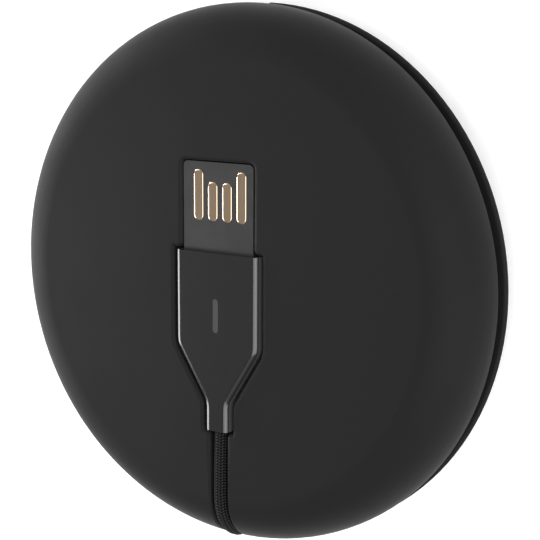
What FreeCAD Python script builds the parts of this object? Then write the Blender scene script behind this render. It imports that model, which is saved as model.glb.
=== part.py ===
# A round case that stores a braided charging cable. A front and a rear saucer are joined by a hub, and
# the cable lies doubled in the gap between them. The slim plug of one end is docked in the front face,
# and the device connector of the other end is docked in the rear face.
# The case lies on its flat rear face: +Z is up through the front face, +Y the way the plug points.
import FreeCAD, Part
import math
import os
import Sketcher
from FreeCAD import Placement, Rotation, Vector

doc = FreeCAD.newDocument("charging_cable")

# Driving sizes in millimetres, angles in degrees
sizes = {
    # Case
    "disc_diameter": 80.0,
    "winding_gap": 2.9,
    "front_rise": 8.35,
    "front_edge_radius": 7.7,
    "crown_radius": 1500.0,
    "front_skin": 2.9,
    "rear_rise": 7.0,
    "rear_slope_width": 12.6,
    "rear_lip_land": 0.6,
    "rear_rim_radius": 0.5,
    "rear_skin": 1.6,
    "rim_wall": 10.0,
    "plate_lip": 3.5,
    "plate_thickness": 1.2,
    "plate_clearance": 0.1,
    # Hub and its screws
    "hub_radius": 21.6,
    "hub_clearance": 0.1,
    "slot_clearance": 0.2,
    "screw_x": 15.5,
    "screw_y": 12.0,
    "screw_diameter": 2.0,
    "screw_length": 6.0,
    "screw_head_diameter": 3.8,
    "screw_head_height": 1.2,
    "screw_play": 0.15,
    "thread_play": 0.02,
    # Cable
    "cable_diameter": 2.2,
    "cable_turn_radius": 2.5,
    "cable_inward_radius": 6.0,
    "cable_inward_angle": 40.0,
    "coil_inset": 2.8,
    "lead_rim_inset": 1.0,
    "tail_rim_inset": 1.6,
    "channel_clearance": 0.35,
    "channel_seat": 0.15,
    # Docks in the two faces
    "dock_clearance": 0.5,
    "dock_end_gap": 0.25,
    "dock_seat": 0.1,
    "dock_wall": 1.4,
    "mouth_corner_radius": 0.11,
    "lip_margin": 0.38,
    "rim_lip_radius": 0.4,
    "rear_lip_radius": 0.3,
    "tongue_clearance": 0.15,
    "tongue_seat": 0.15,
    # Plug
    "plug_width": 14.2,
    "plug_thickness": 4.0,
    "plug_proud": 0.45,
    "plug_mouth_y": 4.6,
    "plug_body_length": 14.0,
    "plug_taper_length": 8.25,
    "plug_neck_length": 4.25,
    "plug_neck_width": 3.95,
    "plug_taper_radius": 3.2,
    "plug_edge_radius": 0.85,
    "shell_wall": 0.6,
    "tongue_width": 12.0,
    "tongue_thickness": 2.4,
    "tongue_reach": 13.0,
    "tongue_root": 0.5,
    "tongue_corner_radius": 0.75,
    "contact_pitch": 2.46,
    "contact_shift": 0.3,
    "contact_width": 1.6,
    "outer_contact_length": 7.4,
    "inner_contact_length": 5.7,
    "contact_start": 4.48,
    "contact_proud": 0.08,
    "contact_bevel": 0.07,
    "board_width": 10.0,
    "board_thickness": 1.0,
    "board_tip_gap": 1.2,
    "board_tail": 2.8,
    "insert_length": 10.8,
    "fit_clearance": 0.05,
    "ferrule_length": 3.0,
    "ferrule_inset": 0.5,
    "bore_wall": 0.55,
    "wire_diameter": 0.6,
    "wire_pad_length": 2.0,
    "wire_pad_pitch": 1.8,
    "wire_spread": 0.45,
    "wire_bend_radius": 1.5,
    # Indicator light of the plug
    "lens_width": 0.9,
    "lens_length": 5.0,
    "lens_setback": 9.2,
    "lens_flange": 0.4,
    "lens_flange_thickness": 0.3,
    "led_width": 0.8,
    "led_length": 1.6,
    "led_height": 0.45,
    # Device connector
    "connector_width": 11.2,
    "connector_thickness": 4.6,
    "connector_lift": 0.15,
    "connector_mouth_y": 1.5,
    "connector_body_length": 10.0,
    "connector_taper_length": 6.5,
    "connector_neck_length": 4.2,
    "tip_width": 8.34,
    "tip_height": 2.56,
    "tip_wall": 0.3,
    "tip_reach": 6.65,
    "tip_root": 2.5,
    "socket_width": 6.7,
    "socket_height": 0.9,
    "pin_pitch": 1.0,
    "pin_width": 0.3,
    "pin_inset": 0.6,
    "connector_board_thickness": 0.6,
    "connector_board_lap": 1.4,
    "connector_board_tail": 1.0,
    "connector_pad_pitch": 1.6,
    "connector_insert_length": 5.5,
}

# Sizes and places that follow from the driving sizes
fits = {
    "disc_radius": "Sizes.disc_diameter / 2",
    "front_rim_z": "Sizes.rear_rise + Sizes.winding_gap",
    "gap_mid_z": "Sizes.rear_rise + Sizes.winding_gap / 2",
    "crown_z": "front_rim_z + Sizes.front_rise",
    "crown_centre_z": "crown_z - Sizes.crown_radius",
    "edge_centre_r": "disc_radius - Sizes.front_edge_radius",
    "edge_centre_z": "crown_centre_z"
                     " + sqrt((Sizes.crown_radius - Sizes.front_edge_radius) ^ 2 - edge_centre_r ^ 2)",
    "crown_share": "Sizes.crown_radius / (Sizes.crown_radius - Sizes.front_edge_radius)",
    "crown_edge_r": "edge_centre_r * crown_share",
    "crown_edge_z": "crown_centre_z + (edge_centre_z - crown_centre_z) * crown_share",
    "lip_z": "Sizes.rear_rise - Sizes.rear_lip_land",
    "rear_round_z": "Sizes.rear_rise - Sizes.rear_rim_radius",
    "rear_round_r": "disc_radius - Sizes.rear_rim_radius",
    "rear_flat_radius": "disc_radius - Sizes.rear_slope_width",
    "rear_edge_radius": "(Sizes.rear_slope_width ^ 2 + lip_z ^ 2) / (2 * lip_z)",
    "cavity_radius": "disc_radius - Sizes.rim_wall",
    "plate_radius": "disc_radius - Sizes.plate_lip",
    "coil_outer_radius": "disc_radius - Sizes.coil_inset",
    "lead_rim_y": "disc_radius - Sizes.lead_rim_inset",
    "tail_rim_y": "disc_radius - Sizes.tail_rim_inset",
    "rear_plate_z": "Sizes.rear_rise - Sizes.plate_thickness",
    "cable_radius": "Sizes.cable_diameter / 2",
    "channel_half": "cable_radius + Sizes.channel_clearance",
    "channel_depth": "cable_radius + Sizes.channel_seat",
    "coil_inner_radius": "Sizes.hub_radius + Sizes.hub_clearance",
    "inner_turn_radius": "coil_inner_radius + cable_radius",
    "loop_radius": "inner_turn_radius / 2",
    "slot_half": "cable_radius + Sizes.slot_clearance",
    "bore_radius": "Sizes.plug_neck_width / 2 - Sizes.bore_wall",
    # Plug, which points along +Y from its mouth
    "plug_mid_z": "crown_z + Sizes.plug_proud - Sizes.plug_thickness / 2",
    "plug_half": "Sizes.plug_width / 2",
    "neck_half": "Sizes.plug_neck_width / 2",
    "plug_taper_y": "Sizes.plug_mouth_y - Sizes.plug_body_length",
    "plug_neck_y": "plug_taper_y - Sizes.plug_taper_length",
    "plug_end_y": "plug_neck_y - Sizes.plug_neck_length",
    "plug_slope": "tan(atan((plug_half - neck_half) / Sizes.plug_taper_length) / 2)",
    "tongue_root_y": "Sizes.plug_mouth_y - Sizes.tongue_root",
    "tongue_tip_y": "Sizes.plug_mouth_y + Sizes.tongue_reach",
    "tongue_dock_corner_radius": "Sizes.tongue_corner_radius + Sizes.tongue_clearance",
    "tongue_dock_half": "Sizes.tongue_width / 2 + Sizes.tongue_clearance",
    "tongue_dock_end_y": "tongue_tip_y + Sizes.tongue_clearance",
    "board_tip_y": "tongue_tip_y - Sizes.board_tip_gap",
    "insert_back_y": "tongue_root_y - Sizes.insert_length",
    "board_back_y": "insert_back_y - Sizes.board_tail",
    "contact_start_y": "Sizes.plug_mouth_y + Sizes.contact_start",
    "contact_face": "Sizes.tongue_thickness / 2 + Sizes.contact_proud",
    "lens_y": "Sizes.plug_mouth_y - Sizes.lens_setback",
    "lead_start_y": "plug_neck_y",
    # Device connector, which points along -Y from its mouth
    "connector_mid_z": "Sizes.connector_lift + Sizes.connector_thickness / 2",
    "connector_half": "Sizes.connector_width / 2",
    "connector_taper_y": "Sizes.connector_mouth_y + Sizes.connector_body_length",
    "connector_neck_y": "connector_taper_y + Sizes.connector_taper_length",
    "connector_end_y": "connector_neck_y + Sizes.connector_neck_length",
    "connector_slope": "tan(atan((connector_half - neck_half) / Sizes.connector_taper_length) / 2)",
    "tip_front_y": "Sizes.connector_mouth_y - Sizes.tip_reach",
    "tip_back_y": "Sizes.connector_mouth_y + Sizes.tip_root",
    "connector_insert_back_y": "Sizes.connector_mouth_y + Sizes.connector_insert_length",
    "connector_board_back_y": "connector_insert_back_y + Sizes.connector_board_tail + Sizes.wire_pad_length",
    "tail_start_y": "connector_neck_y",
    # Bends of the cable over the two rims
    "lead_bend_radius": "plug_mid_z - gap_mid_z - Sizes.cable_turn_radius",
    "lead_bend_y": "lead_rim_y - lead_bend_radius",
    "channel_run_y": "-lead_bend_y",
    "tail_bend_radius": "gap_mid_z - connector_mid_z - Sizes.cable_turn_radius",
    "tail_bend_y": "tail_rim_y - tail_bend_radius",
}


def block_outline(block, piece, towards_neck, offset, mouth, end):
    """Outline of a plug block moved outwards by an offset, from its mouth to the end of its neck."""
    slope = f"{towards_neck} * ({offset}) * {piece}_slope"
    return {
        f"{block}_half": f"{piece}_half + {offset}",
        f"{block}_neck_half": f"neck_half + {offset}",
        f"{block}_mouth_y": mouth,
        f"{block}_taper_y": f"{piece}_taper_y + {slope}",
        f"{block}_neck_y": f"{piece}_neck_y + {slope}",
        f"{block}_end_y": end,
    }


fits.update(block_outline("plug_skin", "plug", -1, "0", "Sizes.plug_mouth_y", "plug_end_y"))
fits.update(block_outline("plug_room", "plug", -1, "-Sizes.shell_wall",
                          "Sizes.plug_mouth_y + Sizes.shell_wall", "plug_neck_y - Sizes.shell_wall"))
fits.update(block_outline("plug_dock", "plug", -1, "Sizes.dock_clearance",
                          "Sizes.plug_mouth_y + Sizes.dock_end_gap", "plug_end_y - Sizes.dock_end_gap"))
fits.update(block_outline("connector_skin", "connector", 1, "0",
                          "Sizes.connector_mouth_y", "connector_end_y"))
fits.update(block_outline("connector_room", "connector", 1, "-Sizes.shell_wall",
                          "Sizes.connector_mouth_y - Sizes.shell_wall",
                          "connector_neck_y + Sizes.shell_wall"))
fits.update(block_outline("connector_dock", "connector", 1, "Sizes.dock_clearance",
                          "Sizes.connector_mouth_y - Sizes.dock_end_gap",
                          "connector_end_y + Sizes.dock_end_gap"))
fits.update({
    "mouth_step": "min(plug_dock_neck_half - channel_half; plug_dock_half - tongue_dock_half)",
    "mouth_shoulder_radius": "mouth_step - 2 * Sizes.mouth_corner_radius",
    "front_lip_radius": "mouth_step - Sizes.lip_margin",
})


def fill_sheet(name, cells, lead):
    """Sheet with a name, a value and an alias in each row."""
    sheet = doc.addObject("Spreadsheet::Sheet", name)
    for row, (alias, value) in enumerate(cells.items(), start=1):
        sheet.set(f"A{row}", alias)
        sheet.set(f"B{row}", f"{lead}{value}")
        sheet.setAlias(f"B{row}", alias)
    doc.recompute()
    return sheet


sizes_sheet = fill_sheet("Sizes", sizes, "")
fits_sheet = fill_sheet("Fits", fits, "=")


def size(alias):
    """Number behind an alias of either sheet, with an optional minus sign."""
    sign = -1.0 if alias.startswith("-") else 1.0
    word = alias.lstrip("-")
    sheet = sizes_sheet if word in sizes else fits_sheet
    return sign * float(sheet.get(word))


def bound(alias):
    """Expression for an alias of either sheet, with an optional minus sign."""
    word = alias.lstrip("-")
    sheet = "Sizes" if word in sizes else "Fits"
    return ("-" if alias.startswith("-") else "") + f"{sheet}.{word}"


nodes = []


def node(name, piece):
    """Give a finished sub-part the name of its file."""
    piece.Label = name
    if piece.Label != name:
        raise RuntimeError(f"{name} is already the name of another piece")
    nodes.append(piece)
    return piece


def place(piece, x, y, z, rotation=Rotation()):
    """Turn a piece about its own origin and bind where it stands."""
    piece.Placement = Placement(Vector(), rotation)
    for axis, expression in (("x", x), ("y", y), ("z", z)):
        piece.setExpression(f"Placement.Base.{axis}", str(expression))
    return piece


def box(name, width, depth, height, x, y, z):
    """Block centred on x that runs up from y and z."""
    piece = doc.addObject("Part::Box", name)
    piece.setExpression("Length", width)
    piece.setExpression("Width", depth)
    piece.setExpression("Height", height)
    return place(piece, f"{x} - ({width}) / 2", y, z)


def cylinder(name, radius, height, x, y, z, rotation=Rotation(), angle=360):
    """Round bar that runs along its own axis from a point."""
    piece = doc.addObject("Part::Cylinder", name)
    piece.setExpression("Radius", radius)
    piece.setExpression("Height", height)
    piece.Angle = angle
    return place(piece, x, y, z, rotation)


def cut(name, base, *tools):
    """Base with each tool taken away in turn."""
    for number, tool in enumerate(tools, start=1):
        piece = doc.addObject("Part::Cut", name if number == len(tools) else f"{name}_step_{number}")
        piece.Base = base
        piece.Tool = tool
        base = piece
    return base


def fuse(name, *pieces):
    """Pieces joined into one."""
    joined = doc.addObject("Part::MultiFuse", name)
    joined.Shapes = list(pieces)
    joined.Refine = True
    return joined


def group(name, pieces):
    """Separate like pieces that share a node."""
    together = doc.addObject("Part::Compound", name)
    together.Links = pieces
    return together


along_y = Rotation(Vector(1, 0, 0), -90)
along_x = Rotation(Vector(0, 1, 0), 90)


def capsule(name, width, length, height, x, y, z):
    """Upright block with half-round ends, from y to y + length."""
    end = f"({width}) / 2"
    return fuse(
        name,
        box(f"{name}_middle", width, f"{length} - ({width})", height, x, f"{y} + {end}", z),
        cylinder(f"{name}_near_end", end, height, x, f"{y} + {end}", z),
        cylinder(f"{name}_far_end", end, height, x, f"{y} + {length} - {end}", z),
    )


def stadium(name, width, height, length, y, z):
    """Bar along Y with half-round sides, centred on the plane x = 0 and on z."""
    side = f"({height}) / 2"
    reach = f"(({width}) / 2 - {side})"
    return fuse(
        name,
        box(f"{name}_middle", f"{width} - ({height})", length, height, "0", y, f"{z} - {side}"),
        cylinder(f"{name}_right_side", side, length, reach, y, z, along_y),
        cylinder(f"{name}_left_side", side, length, f"-{reach}", y, z, along_y),
    )


def origin_plane(body, role):
    """One of a body's own origin planes."""
    return next(plane for plane in body.Origin.OriginFeatures if plane.Role == role)


def closed_sketch(body, name, role, corners, arcs=()):
    """Closed outline through named corners; a side listed in arcs turns about a named centre."""
    sketch = body.newObject("Sketcher::SketchObject", name)
    sketch.AttachmentSupport = [(origin_plane(body, role), "")]
    sketch.MapMode = "FlatFace"
    points = [Vector(size(x) if x else 0, size(y) if y else 0, 0) for x, y in corners]
    for side, start in enumerate(points):
        stop = points[(side + 1) % len(points)]
        if side in arcs:
            centre = Vector(*[size(word) if word else 0 for word in arcs[side]], 0)
            first = math.atan2(start.y - centre.y, start.x - centre.x)
            last = math.atan2(stop.y - centre.y, stop.x - centre.x)
            circle = Part.Circle(centre, Vector(0, 0, 1), (start - centre).Length)
            sketch.addGeometry(Part.ArcOfCircle(circle, first, last), False)
            pin_point(sketch, side, 3, (arcs[side][0], False))
        else:
            sketch.addGeometry(Part.LineSegment(start, stop), False)
    for side in range(len(points)):
        after = (side + 1) % len(points)
        sketch.addConstraint(Sketcher.Constraint("Coincident", side, 2, after, 1))
    for side, corner in enumerate(corners):
        pin_point(sketch, side, 1, corner)
    return sketch


def pin_point(sketch, side, spot, corner):
    """Hold a point of a sketch at named coordinates; False leaves that coordinate free."""
    for kind, axis, word in (("DistanceX", -2, corner[0]), ("DistanceY", -1, corner[1])):
        if word is False:
            continue
        if word == "":
            sketch.addConstraint(Sketcher.Constraint("PointOnObject", side, spot, axis))
            continue
        held = sketch.addConstraint(Sketcher.Constraint(kind, -1, 1, side, spot, size(word)))
        sketch.setExpression(f"Constraints[{held}]", bound(word))


def turned(name, corners, arcs):
    """Body turned about Z from a half section."""
    body = doc.addObject("PartDesign::Body", name)
    sketch = closed_sketch(body, f"{name}_section", "XZ_Plane", corners, arcs)
    turn = body.newObject("PartDesign::Revolution", f"{name}_turn")
    turn.Profile = sketch
    turn.ReferenceAxis = (sketch, ["V_Axis"])
    turn.Angle = 360
    doc.recompute()
    return body


def rounded(body, name, radius, chosen):
    """Round the edges of a body's last feature that a test picks out."""
    base = body.Tip
    edges = [f"Edge{number}" for number, edge in enumerate(base.Shape.Edges, start=1) if chosen(edge)]
    feature = body.newObject("PartDesign::Fillet", name)
    feature.Base = (base, edges)
    feature.setExpression("Radius", radius)
    doc.recompute()
    return feature


def level(edge, axis, value):
    """Whether an edge lies wholly at one value of an axis."""
    low, high = getattr(edge.BoundBox, f"{axis}Min"), getattr(edge.BoundBox, f"{axis}Max")
    return abs(low - value) < 1e-4 and abs(high - value) < 1e-4


def lip_rounds(name, base, radius_at, chosen):
    """Cut piece with the edges that a test picks out rounded, by a radius for each point."""
    doc.recompute()
    piece = doc.addObject("Part::Fillet", name)
    piece.Base = base
    piece.Edges = [(number, radius_at(edge.valueAt(edge.FirstParameter)),
                    radius_at(edge.valueAt(edge.LastParameter)))
                   for number, edge in enumerate(base.Shape.Edges, start=1) if chosen(edge)]
    return piece


def along(edge):
    """Points along an edge, clear of its ends."""
    first, last = edge.FirstParameter, edge.LastParameter
    return [edge.valueAt(first + (last - first) * share) for share in (0.05, 0.3, 0.5, 0.7, 0.95)]


def plug_block(block, floor, height, taper_radius="Sizes.plug_taper_radius"):
    """Flat plug-shaped block: a straight body that tapers to a narrow neck."""
    half, neck = f"{block}_half", f"{block}_neck_half"
    right = [(half, "mouth"), (half, "taper"), (neck, "neck"), (neck, "end")]
    corners = [(x, f"{block}_{y}_y") for x, y in right]
    corners += [(f"-{x}", y) for x, y in reversed(corners)]
    body = doc.addObject("PartDesign::Body", block)
    sketch = closed_sketch(body, f"{block}_outline", "XY_Plane", corners)
    sketch.setExpression("AttachmentOffset.Base.z", floor)
    pad = body.newObject("PartDesign::Pad", f"{block}_pad")
    pad.Profile = sketch
    pad.setExpression("Length", height)
    doc.recompute()
    bends = [(size(half), size(f"{block}_taper_y")), (size(neck), size(f"{block}_neck_y"))]
    rounded(body, f"{block}_bends", taper_radius, lambda edge: any(
        level(edge, "X", sign * x) and level(edge, "Y", y) for x, y in bends for sign in (1, -1)))
    return body


def rounded_path(corners, radii):
    """Edges of a path of straight runs joined by tangent arcs, one radius for each inner corner."""
    edges = []
    begin = corners[0]
    for before, corner, after, radius in zip(corners, corners[1:], corners[2:], radii):
        back = (before - corner).normalize()
        ahead = (after - corner).normalize()
        half_turn = (math.pi - back.getAngle(ahead)) / 2
        reach = radius * math.tan(half_turn)
        middle = (back + ahead).normalize()
        start, stop = corner + back * reach, corner + ahead * reach
        summit = corner + middle * (radius / math.cos(half_turn) - radius)
        if (start - begin).Length > 1e-6:
            edges.append(Part.LineSegment(begin, start).toShape())
        edges.append(Part.Arc(start, summit, stop).toShape())
        begin = stop
    edges.append(Part.LineSegment(begin, corners[-1]).toShape())
    return edges


def tube(name, corners, radii, radius):
    """Round tube along a path, with its bend radii and its volume printed."""
    path = Part.Wire(rounded_path(corners, radii))
    outline = Part.Wire([Part.makeCircle(radius, corners[0], corners[1] - corners[0])])
    piece = doc.addObject("Part::Feature", name)
    piece.Shape = path.makePipeShell([outline], True, False)
    share = piece.Shape.Volume / (math.pi * radius ** 2 * path.Length)
    print(f"{name}: length {path.Length:.1f}, radii {[round(bend, 2) for bend in radii]}, "
          f"volume over section times length {share:.4f}")
    return piece


# Winding plates: the rear one carries the hub, the front one is screwed down on it
screw_places = [(f"{side} * Sizes.screw_x", f"{end} * Sizes.screw_y") for side in (1, -1) for end in (1, -1)]


def screw_holes(name, radius, z, height):
    """A hole for each screw."""
    return fuse(name, *[cylinder(f"{name}_{number}", radius, height, x, y, z)
                        for number, (x, y) in enumerate(screw_places, start=1)])


def hub_slot(name, side, turn):
    """Half-ring slot in which the middle of the cable crosses the hub."""
    centre_y = f"{side} * Fits.loop_radius"
    outer = cylinder(f"{name}_outer", "Fits.loop_radius + Fits.slot_half", "Sizes.winding_gap",
                     "0", centre_y, "Sizes.rear_rise", Rotation(Vector(0, 0, 1), turn), 180)
    inner = cylinder(f"{name}_inner", "Fits.loop_radius - Fits.slot_half", "Sizes.winding_gap",
                     "0", centre_y, "Sizes.rear_rise", Rotation(Vector(0, 0, 1), turn), 180)
    return cut(name, outer, inner)


hub = cut("hub_islands",
          cylinder("hub_drum", "Sizes.hub_radius", "Sizes.winding_gap", "0", "0", "Sizes.rear_rise"),
          hub_slot("upper_slot", 1, 90), hub_slot("lower_slot", -1, -90))
rear_disc = cylinder("rear_plate_disc", "Fits.plate_radius", "Sizes.plate_thickness",
                     "0", "0", "Fits.rear_plate_z")
node("rear_plate", cut("rear_plate_drilled", fuse("rear_plate_blank", rear_disc, hub),
                       screw_holes("pilot_holes", "Sizes.screw_diameter / 2 + Sizes.thread_play",
                                   "Fits.rear_plate_z", "Sizes.plate_thickness + Sizes.winding_gap")))
front_disc = cylinder("front_plate_disc", "Fits.plate_radius", "Sizes.plate_thickness",
                      "0", "0", "Fits.front_rim_z")
node("front_plate", cut("front_plate_drilled", front_disc,
                        screw_holes("clearance_holes", "Sizes.screw_diameter / 2 + Sizes.screw_play",
                                    "Fits.front_rim_z", "Sizes.plate_thickness")))

screws = []
for number, (x, y) in enumerate(screw_places, start=1):
    head_z = "Fits.front_rim_z + Sizes.plate_thickness"
    head = cylinder(f"screw_head_{number}", "Sizes.screw_head_diameter / 2", "Sizes.screw_head_height",
                    x, y, head_z)
    shank = cylinder(f"screw_shank_{number}", "Sizes.screw_diameter / 2", "Sizes.screw_length",
                     x, y, f"{head_z} - Sizes.screw_length")
    screws.append(fuse(f"screw_{number}", head, shank))
node("hub_screws", group("hub_screw_set", screws))


# Saucers: each has a seat for its plate, a hollow round the dock, the dock and the cable's channel
def hollow(name, z, height, island, back_y, front_y):
    """Round hollow of a saucer with a solid island left under the dock."""
    width = f"2 * (Fits.{island}_half + Sizes.dock_wall)"
    core = box(f"{name}_island", width, f"{front_y} - ({back_y})", height, "0", back_y, z)
    return cut(name, cylinder(f"{name}_round", "Fits.cavity_radius", height, "0", "0", z), core)


def plate_seat(name, z):
    """Round recess that takes a winding plate."""
    return cylinder(name, "Fits.plate_radius + Sizes.plate_clearance", "Sizes.plate_thickness", "0", "0", z)


def turn_relief(name, x, y, z, rotation):
    """Quarter ring that clears the cable where it turns aside into the gap."""
    piece = doc.addObject("Part::Torus", name)
    piece.setExpression("Radius1", "Sizes.cable_turn_radius")
    piece.setExpression("Radius2", "Fits.channel_depth")
    piece.Angle3 = 90
    return place(piece, x, y, z, rotation)


front_blank = turned("front_saucer", [("", "front_rim_z"), ("disc_radius", "front_rim_z"),
                                      ("disc_radius", "edge_centre_z"), ("crown_edge_r", "crown_edge_z"),
                                      ("", "crown_z")],
                     {2: ("edge_centre_r", "edge_centre_z"), 3: ("", "crown_centre_z")})
front_hollow_z = "Fits.front_rim_z + Sizes.plate_thickness"
above = "Sizes.front_rise"
channel_width = "2 * Fits.channel_half"
channel_floor = "Fits.plug_mid_z - Fits.channel_depth"
lead_bend_z = "Fits.plug_mid_z - Fits.lead_bend_radius"
rim_reach = "Fits.disc_radius + Sizes.cable_diameter"
lead_channel = cut(
    "lead_channel_over_rim",
    box("lead_channel_block", channel_width, f"{rim_reach} - Fits.lead_bend_y", "2 * Sizes.front_rise",
        "0", f"-({rim_reach})", "Sizes.rear_rise"),
    cylinder("lead_channel_floor", "Fits.lead_bend_radius - Fits.channel_depth", channel_width,
             "-Fits.channel_half", "-Fits.lead_bend_y", lead_bend_z, along_x))


def upright(*corners):
    """Test for the upright edges over named corners of an outline, on both sides."""
    spots = [(size(x), size(y)) for x, y in corners]
    return lambda edge: any(level(edge, "X", sign * x) and level(edge, "Y", y)
                            for x, y in spots for sign in (1, -1))


def front_mouth():
    """Mouth of the front dock: the outlines of tongue, plug and cable in one, with rounded shoulders."""
    tip, tongue_step = ("tongue_dock_half", "tongue_dock_end_y"), ("tongue_dock_half", "plug_dock_mouth_y")
    mouth, taper = ("plug_dock_half", "plug_dock_mouth_y"), ("plug_dock_half", "plug_dock_taper_y")
    neck, end = ("plug_dock_neck_half", "plug_dock_neck_y"), ("plug_dock_neck_half", "plug_dock_end_y")
    channel_step, run_out = ("channel_half", "plug_dock_end_y"), ("channel_half", "channel_run_y")
    corners = [tip, tongue_step, mouth, taper, neck, end, channel_step, run_out]
    corners += [(f"-{x}", y) for x, y in reversed(corners)]
    body = doc.addObject("PartDesign::Body", "front_mouth")
    sketch = closed_sketch(body, "front_mouth_outline", "XY_Plane", corners)
    sketch.setExpression("AttachmentOffset.Base.z", channel_floor)
    pad = body.newObject("PartDesign::Pad", "front_mouth_pad")
    pad.Profile = sketch
    pad.setExpression("Length", above)
    doc.recompute()
    rounded(body, "front_mouth_bends", "Sizes.plug_taper_radius", upright(taper, neck))
    rounded(body, "front_mouth_shoulders", "Fits.mouth_shoulder_radius", upright(tongue_step, channel_step))
    rounded(body, "front_mouth_corners", "Sizes.mouth_corner_radius", upright(mouth, end))
    rounded(body, "front_mouth_tip", "Fits.tongue_dock_corner_radius", upright(tip))
    return body


front_cut = cut(
    "front_shell_cut", front_blank,
    plate_seat("front_plate_seat", "Fits.front_rim_z"),
    hollow("front_hollow", front_hollow_z, "Sizes.front_rise - Sizes.plate_thickness - Sizes.front_skin",
           "plug_dock", "Fits.plug_dock_end_y - Sizes.dock_wall",
           "Fits.tongue_tip_y + Sizes.tongue_clearance + Sizes.dock_wall"),
    plug_block("plug_dock", "Fits.plug_mid_z - Sizes.plug_thickness / 2 - Sizes.dock_seat",
               "Sizes.plug_thickness / 2"),
    box("tongue_dock", "2 * Fits.tongue_dock_half", "Fits.tongue_dock_end_y - Sizes.plug_mouth_y",
        "Fits.contact_face", "0", "Sizes.plug_mouth_y",
        "Fits.plug_mid_z - Fits.contact_face - Sizes.tongue_seat"),
    front_mouth(),
    lead_channel,
    turn_relief("lead_turn_relief", "Sizes.cable_turn_radius", "-Fits.lead_rim_y", lead_bend_z,
                Rotation(Vector(-1, 0, 0), Vector(0, 0, -1), Vector(0, -1, 0))))


def on_front_skin(point):
    """Whether a point lies on the crown or on the round of the front edge."""
    radius = math.hypot(point.x, point.y)
    crown = math.hypot(radius, point.z - size("crown_centre_z")) - size("crown_radius")
    edge = math.hypot(radius - size("edge_centre_r"), point.z - size("edge_centre_z"))
    on_edge = radius > size("edge_centre_r") and abs(edge - size("front_edge_radius")) < 1e-3
    return abs(crown) < 1e-3 or on_edge


def dock_lip(edge, half, on_skin):
    """Whether an edge is a rim of the dock or its channel, where the skin is cut."""
    return all(on_skin(point) and abs(point.x) < half + 1e-3 for point in along(edge))


def front_lip(point):
    """Lip radius in the front face, which narrows along the channel to that on the edge of the case."""
    on_crown = math.hypot(point.x, point.y) < size("crown_edge_r") - 1e-3
    return size("front_lip_radius" if on_crown else "rim_lip_radius")


node("front_shell", lip_rounds("front_shell_lips", front_cut, front_lip,
                               lambda edge: dock_lip(edge, size("plug_dock_half"), on_front_skin)))

rear_blank = turned("rear_saucer", [("", ""), ("rear_flat_radius", ""), ("disc_radius", "lip_z"),
                                    ("disc_radius", "rear_round_z"), ("rear_round_r", "rear_rise"),
                                    ("", "rear_rise")],
                    {1: ("rear_flat_radius", "rear_edge_radius"), 3: ("rear_round_r", "rear_round_z")})
below = "-Sizes.rear_rise"
tail_bend_z = "Fits.connector_mid_z + Fits.tail_bend_radius"
tail_channel = cut(
    "tail_channel_over_rim",
    box("tail_channel_block", channel_width, f"{rim_reach} - Fits.tail_bend_y", "2 * Sizes.rear_rise",
        "0", "Fits.tail_bend_y", below),
    cylinder("tail_channel_floor", "Fits.tail_bend_radius - Fits.channel_depth", channel_width,
             "-Fits.channel_half", "Fits.tail_bend_y", tail_bend_z, along_x))
tip_dock_height = "Fits.connector_mid_z + Sizes.tip_height / 2 + Sizes.tongue_seat"
rear_cut = cut(
    "rear_shell_cut", rear_blank,
    plate_seat("rear_plate_seat", "Fits.rear_plate_z"),
    hollow("rear_hollow", "Sizes.rear_skin", "Fits.rear_plate_z - Sizes.rear_skin", "connector_dock",
           "Fits.tip_front_y - Sizes.tongue_clearance - Sizes.dock_wall",
           "Fits.connector_dock_end_y + Sizes.dock_wall"),
    plug_block("connector_dock", below,
               "Sizes.rear_rise + Sizes.connector_lift + Sizes.connector_thickness + Sizes.dock_seat"),
    box("tip_dock", "Sizes.tip_width + 2 * Sizes.tongue_clearance",
        "Sizes.tip_reach + Sizes.tongue_clearance", f"Sizes.rear_rise + {tip_dock_height}",
        "0", "Fits.tip_front_y - Sizes.tongue_clearance", below),
    box("tail_channel_run", channel_width, "Fits.tail_bend_y - Fits.connector_end_y",
        "Sizes.rear_rise + Fits.connector_mid_z + Fits.channel_depth", "0", "Fits.connector_end_y", below),
    tail_channel,
    turn_relief("tail_turn_relief", "-Sizes.cable_turn_radius", "Fits.tail_rim_y", tail_bend_z,
                Rotation(Vector(1, 0, 0), Vector(0, 0, 1), Vector(0, -1, 0))))


def on_rear_skin(point):
    """Whether a point lies on the flat of the rear face or on its rounded slope."""
    radius = math.hypot(point.x, point.y)
    slope = math.hypot(radius - size("rear_flat_radius"), point.z - size("rear_edge_radius"))
    flat = abs(point.z) < 1e-3 and radius < size("rear_flat_radius") + 1e-3
    return flat or (radius > size("rear_flat_radius") and abs(slope - size("rear_edge_radius")) < 1e-3)


node("rear_shell", lip_rounds("rear_shell_lips", rear_cut, lambda point: size("rear_lip_radius"),
                              lambda edge: dock_lip(edge, size("connector_dock_half"), on_rear_skin)))


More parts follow.
